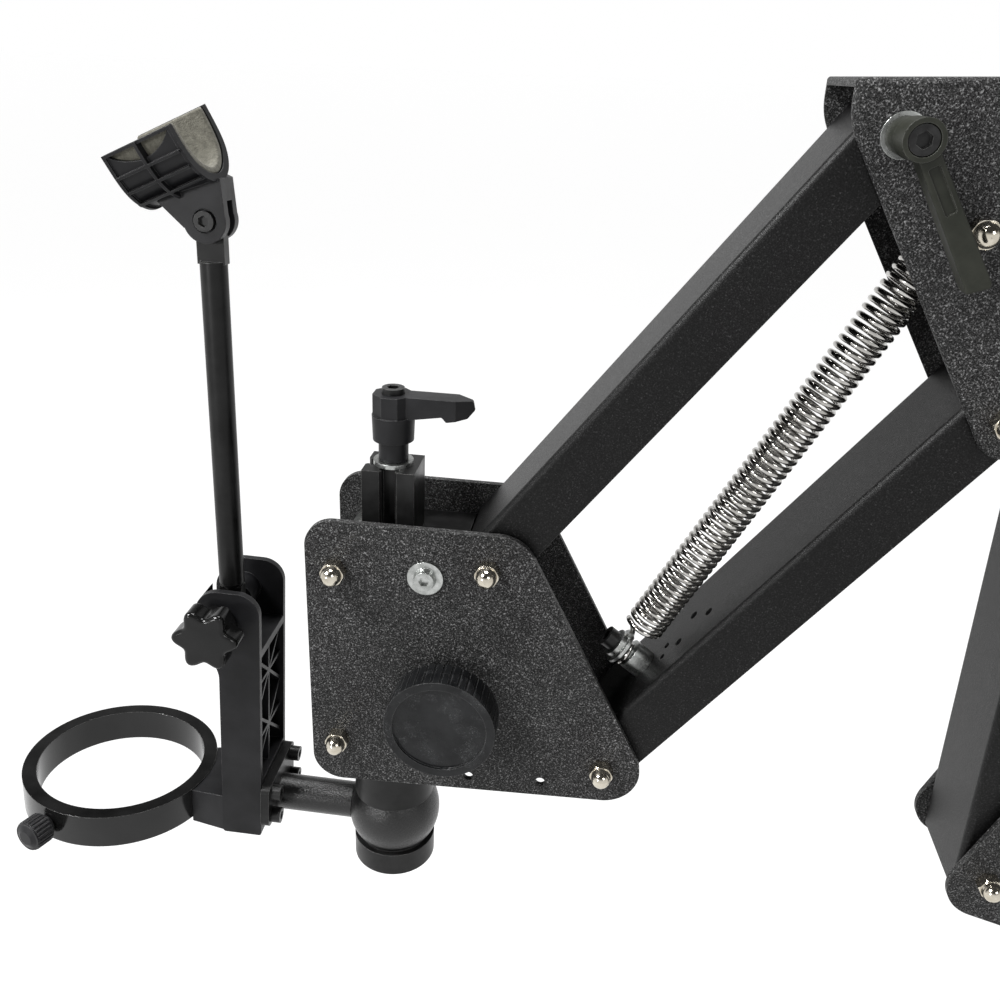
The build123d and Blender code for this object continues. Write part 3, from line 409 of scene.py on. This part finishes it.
def make_spring(name, node, A, B, ax_a, ax_b, ra, rb, ha=15.8, hb=17.0):
    pts = spring_path(A, B, ha, hb, ra, rb, ax_a, ax_b)
    pts = [p * MM for p in pts]
    vs, fs = sweep(pts, 1.28 * MM, 12)
    ob = mesh_obj(name, vs, fs, M["spring_chrome"], None)
    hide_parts(node)
    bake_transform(ob)
    return ob


lowA = web_point(PIV["P2"], PIV["P4"], AX, LINK_D / 2 + 11.2)
axA = web_point(PIV["P2"], PIV["P4"], AX, 1) - web_point(PIV["P2"], PIV["P4"], AX, 0)
upB = Vector((PIV["SA"][0], 0, PIV["SA"][1]))
Yv = Vector((0, 1, 0))
make_spring("arm_spring_coil", "arm_spring", lowA, upB, axA, Yv, 6.4, 6.4)
lo2 = Vector((PIV["SB"][0], 0, PIV["SB"][1]))
hi2 = web_point(PIV["P8"], PIV["P7"], LINK_L - AX, LINK_D / 2 + 11.2)
ax2 = web_point(PIV["P8"], PIV["P7"], 10, 1) - web_point(PIV["P8"], PIV["P7"], 10, 0)
make_spring("lower_spring_coil", "lower_arm_spring", lo2, hi2, Yv, ax2, 6.4, 6.4, 17.0, 17.5)

# ---------------------------------------------------------------- cradle frame
def tip_axes():
    pan, tilt, roll = math.radians(2.5), math.radians(2.2), math.radians(3.0)
    n = Vector((math.tan(tilt), math.tan(roll), 1)).normalized()
    x = Vector((math.cos(pan), math.sin(pan), 0))
    x = (x - n * x.dot(n)).normalized()
    return x, n.cross(x), n


TX, TY, TZ = tip_axes()
BALL = Vector((-360.5, 0, 124.0))


def tip(x, y, z):
    return BALL + TX * x + TY * y + TZ * z


LEAN, ROD_L, PVX, PVZ = math.radians(2.17), 183.6, -86.55, 110.5
RZ = (TZ * math.cos(LEAN) - TX * math.sin(LEAN)).normalized()
RX = (TX * math.cos(LEAN) + TZ * math.sin(LEAN)).normalized()
E1 = Vector((0.9018, -0.1874, 0.3894)).normalized()
E3 = Vector((-0.4225, -0.1930, 0.8856)).normalized()
E1 = (E1 - E3 * E1.dot(E3)).normalized()
E2 = E3.cross(E1)


def cr(x, y, z):
    return tip(PVX, 0, PVZ) + RX * x + TY * y + RZ * (ROD_L + z)


def tw(u, v, w):
    q = Vector((-9.0, 0, 11.5)) + E1 * u + E2 * v + E3 * w
    return cr(q.x, q.y, q.z)


def spline_pts(pp, n):
    """Catmull-Rom through pp, n points, evenly spaced in the curve parameter."""
    out = []
    m_ = len(pp) - 1
    for i in range(n):
        t = i / (n - 1) * m_
        k = min(int(t), m_ - 1); f = t - k
        p0 = pp[max(k - 1, 0)]; p1 = pp[k]; p2 = pp[k + 1]; p3 = pp[min(k + 2, m_)]
        q = []
        for a, b, c, d in zip(p0, p1, p2, p3):
            q.append(0.5 * ((2 * b) + (-a + c) * f + (2 * a - 5 * b + 4 * c - d) * f * f + (-a + 3 * b - 3 * c + d) * f ** 3))
        out.append(tuple(q))
    return out


def both(half):
    return half + [(-p[0], p[1]) for p in half[-2::-1]]


SI = both([(-14.25, 26.4), (-14.0, 19.2), (-11.9, 9.7), (-6.35, 3.65), (0, 1.75)])
SP = both([(-11.5, 26.4), (-11.3, 20.0), (-9.35, 11.5), (-4.95, 6.6), (0, 4.9)])


def foam_pad():
    a = spline_pts(SI, 33); b = spline_pts(SP, 33)[::-1]
    loopn = a + b
    n = len(loopn)
    us = [-17.1 + 34.2 * i / 18 for i in range(19)]
    vs = []
    for i, u in enumerate(us):
        e = 0.0
        for (y, w) in loopn:
            vs.append(tw(u, y, w) * MM)
    fs = []
    for i in range(len(us) - 1):
        for k in range(n):
            fs.append((i * n + k, i * n + (k + 1) % n, (i + 1) * n + (k + 1) % n, (i + 1) * n + k))
    for base, flip in ((0, True), ((len(us) - 1) * n, False)):
        for k in range(32):
            q = (base + k, base + k + 1, base + n - 2 - k, base + n - 1 - k)
            fs.append(q[::-1] if flip else q)
    ob = mesh_obj("cradle_foam", vs, fs, M["foam"], None)
    bm = bmesh.new(); bm.from_mesh(ob.data)
    bmesh.ops.recalc_face_normals(bm, faces=bm.faces)
    bm.to_mesh(ob.data); bm.free()
    md = ob.modifiers.new("round", "BEVEL"); md.width = 0.9 * MM; md.segments = 3; md.limit_method = "ANGLE"; md.angle_limit = math.radians(40)
    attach(ob, "cradle")
    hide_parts("cradle_pad")
    return ob


foam_pad()

# ---------------------------------------------------------------- stage
def floor():
    z = CADBOX[0][2] - 0.002
    bm = bmesh.new()
    rings, seg, prev = [0.0, 0.5, 1.0, 2.0, 4.0, 8.0, 16.0, 32.0, 64.0, 120.0], 64, None
    for r in rings:
        if r == 0.0:
            prev = [bm.verts.new((0, 0, 0))]
            continue
        cur = [bm.verts.new((r * math.cos(2 * math.pi * k / seg), r * math.sin(2 * math.pi * k / seg), 0)) for k in range(seg)]
        for k in range(seg):
            if len(prev) == 1:
                bm.faces.new((prev[0], cur[k], cur[(k + 1) % seg]))
            else:
                bm.faces.new((prev[k], cur[k], cur[(k + 1) % seg], prev[(k + 1) % seg]))
        prev = cur
    me = bpy.data.meshes.new("floor")
    bm.to_mesh(me)
    bm.free()
    ob = bpy.data.objects.new("floor", me)
    ob.location = (0, 0, z)
    bpy.context.scene.collection.objects.link(ob)
    m, nt, bs = new_mat("pale_floor")
    v = coords(nt)
    n = tex(nt, "ShaderNodeTexNoise", 3.0, v, Detail=3.0)
    nt.links.new(ramp(nt, n.outputs["Fac"], [(0.3, 0.11), (0.7, 0.13)]).outputs["Color"], bs.inputs["Base Color"])
    nt.links.new(maprange(nt, n.outputs["Fac"], 0.3, 0.7, 0.85, 0.95), bs.inputs["Roughness"])
    bs.inputs["Specular IOR Level"].default_value = 0.05
    bs.inputs["Emission Color"].default_value = (1, 1, 1, 1)
    bs.inputs["Emission Strength"].default_value = FLOOR_GLOW
    me.materials.append(m)


FLOOR_GLOW = 0.95
floor()
sc = bpy.context.scene
w = bpy.data.worlds.new("studio")
sc.world = w
w.use_nodes = True
wn = w.node_tree
bg = wn.nodes["Background"]
# white at and below the horizon, falling to a dim ceiling overhead
tc = wn.nodes.new("ShaderNodeTexCoord")
sx = wn.nodes.new("ShaderNodeSeparateXYZ")
wn.links.new(tc.outputs["Generated"], sx.inputs[0])
wr = wn.nodes.new("ShaderNodeValToRGB")
wn.links.new(sx.outputs["Z"], wr.inputs["Fac"])
e = wr.color_ramp.elements
e[0].position = 0.22; e[0].color = (1, 1, 1, 1)
e[1].position = 0.58; e[1].color = (0.05, 0.05, 0.05, 1)
wn.links.new(wr.outputs["Color"], bg.inputs[0])
bg.inputs[1].default_value = 1.0


def area(name, loc, target, size, power, size_y=None):
    l = bpy.data.lights.new(name, "AREA")
    l.energy = power
    l.size = size
    if size_y:
        l.shape = "RECTANGLE"; l.size_y = size_y
    o = bpy.data.objects.new(name, l)
    o.location = loc
    d = Vector(target) - Vector(loc)
    o.rotation_euler = d.to_track_quat("-Z", "Y").to_euler()
    sc.collection.objects.link(o)
    return o


area("key", (-1.1, -0.45, 1.35), (-0.25, 0, 0.3), 0.40, 34)
area("fill", (0.7, -1.1, 1.3), (-0.2, 0, 0.3), 0.5, 7)
area("front", (-1.15, -1.25, 0.56), (-0.32, 0, 0.18), 0.24, 8)
area("top", (-0.35, 0.4, 1.5), (-0.3, 0, 0.3), 0.5, 18)

cam = bpy.data.cameras.new("cam")
cam.lens = 34.803
cam.sensor_width = 36.0
cam.clip_start = 0.01
co = bpy.data.objects.new("cam", cam)
R = Vector((0.99101, 0.12721, 0.04154)); U = Vector((-0.08966, 0.40077, 0.91178)); F = Vector((-0.09934, 0.90730, -0.40857))
mat = Matrix(((R.x, U.x, -F.x, -0.268), (R.y, U.y, -F.y, -0.396861), (R.z, U.z, -F.z, 0.486), (0, 0, 0, 1)))
co.matrix_world = mat
sc.collection.objects.link(co)
sc.camera = co
sc.view_settings.view_transform = "Standard"
